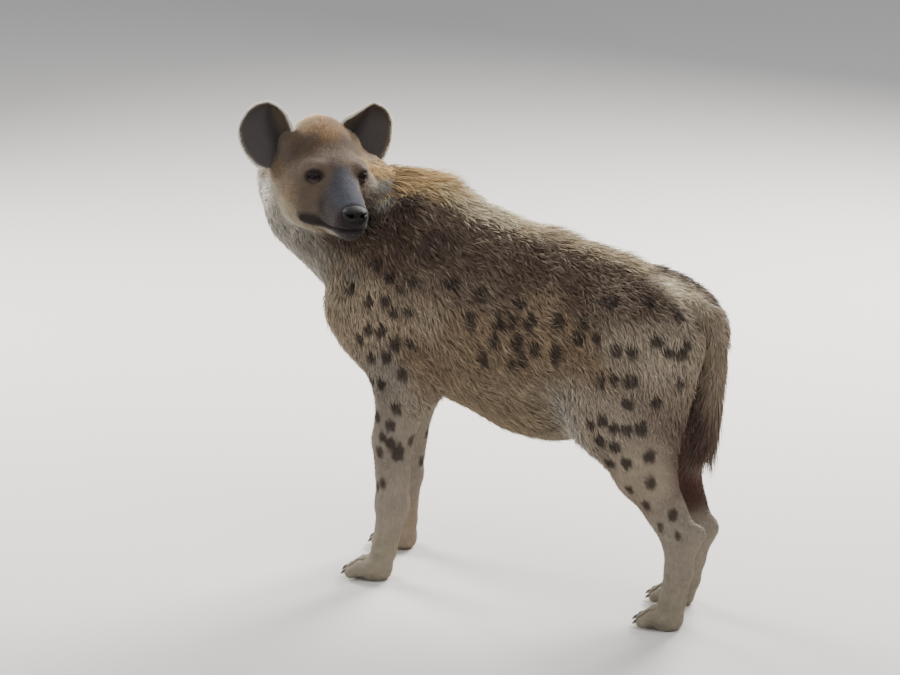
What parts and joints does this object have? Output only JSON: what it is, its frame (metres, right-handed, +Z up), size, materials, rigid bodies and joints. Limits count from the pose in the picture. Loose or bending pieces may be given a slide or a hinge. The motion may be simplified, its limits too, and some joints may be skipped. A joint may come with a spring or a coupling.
{
  "type": "spotted hyena",
  "caption": "Standing adult spotted hyena, life size, head turned back over its left shoulder, with sloping back, mane, hanging tail and all four paws flat on the ground.",
  "frame": {"origin": "centre of the bounding box in plan, at the level of the soles", "axes": "+X forward along the trunk, +Y to the animal's left, +Z up; the head looks back towards -X and +Y"},
  "size_m": [1.0108, 0.3858, 0.9415],
  "materials": {
    "torso": "short coarse grey-brown coat with dark brown round spots and a shaggy back",
    "neck": "coarse golden and cream mane on the nape, pale throat",
    "head": "short dense grey-brown coat, golden crown, slate muzzle",
    "ear": "thin charcoal inside with pale rim hair",
    "leg": "short grey-beige coat with dark round spots",
    "paw": "short pale coat",
    "tail": "long coarse dark brown brush",
    "nose": "moist black leathery pad",
    "eye": "glossy very dark brown, as the glass eye of a museum model",
    "claw": "smooth dark horn"
  },
  "bodies": {
    "root": {"foreleg_left_upper": "leg", "foreleg_left_lower": "leg", "claw_foreleg_left_1": "claw", "claw_foreleg_left_2": "claw", "claw_foreleg_left_3": "claw", "claw_foreleg_left_4": "claw", "foreleg_left_paw": "paw", "foreleg_right_upper": "leg", "foreleg_right_lower": "leg", "claw_foreleg_right_1": "claw", "claw_foreleg_right_2": "claw", "claw_foreleg_right_3": "claw", "claw_foreleg_right_4": "claw", "foreleg_right_paw": "paw", "hindleg_left_upper": "leg", "hindleg_left_lower": "leg", "claw_hindleg_left_1": "claw", "claw_hindleg_left_2": "claw", "claw_hindleg_left_3": "claw", "claw_hindleg_left_4": "claw", "hindleg_left_paw": "paw", "hindleg_right_upper": "leg", "hindleg_right_lower": "leg", "claw_hindleg_right_1": "claw", "claw_hindleg_right_2": "claw", "claw_hindleg_right_3": "claw", "claw_hindleg_right_4": "claw", "hindleg_right_paw": "paw", "ear_left": "ear", "eye_left": "eye", "ear_right": "ear", "eye_right": "eye", "nose": "nose", "torso": "torso", "neck": "neck", "head": "head", "tail": "tail"}
  },
  "joints": []
}
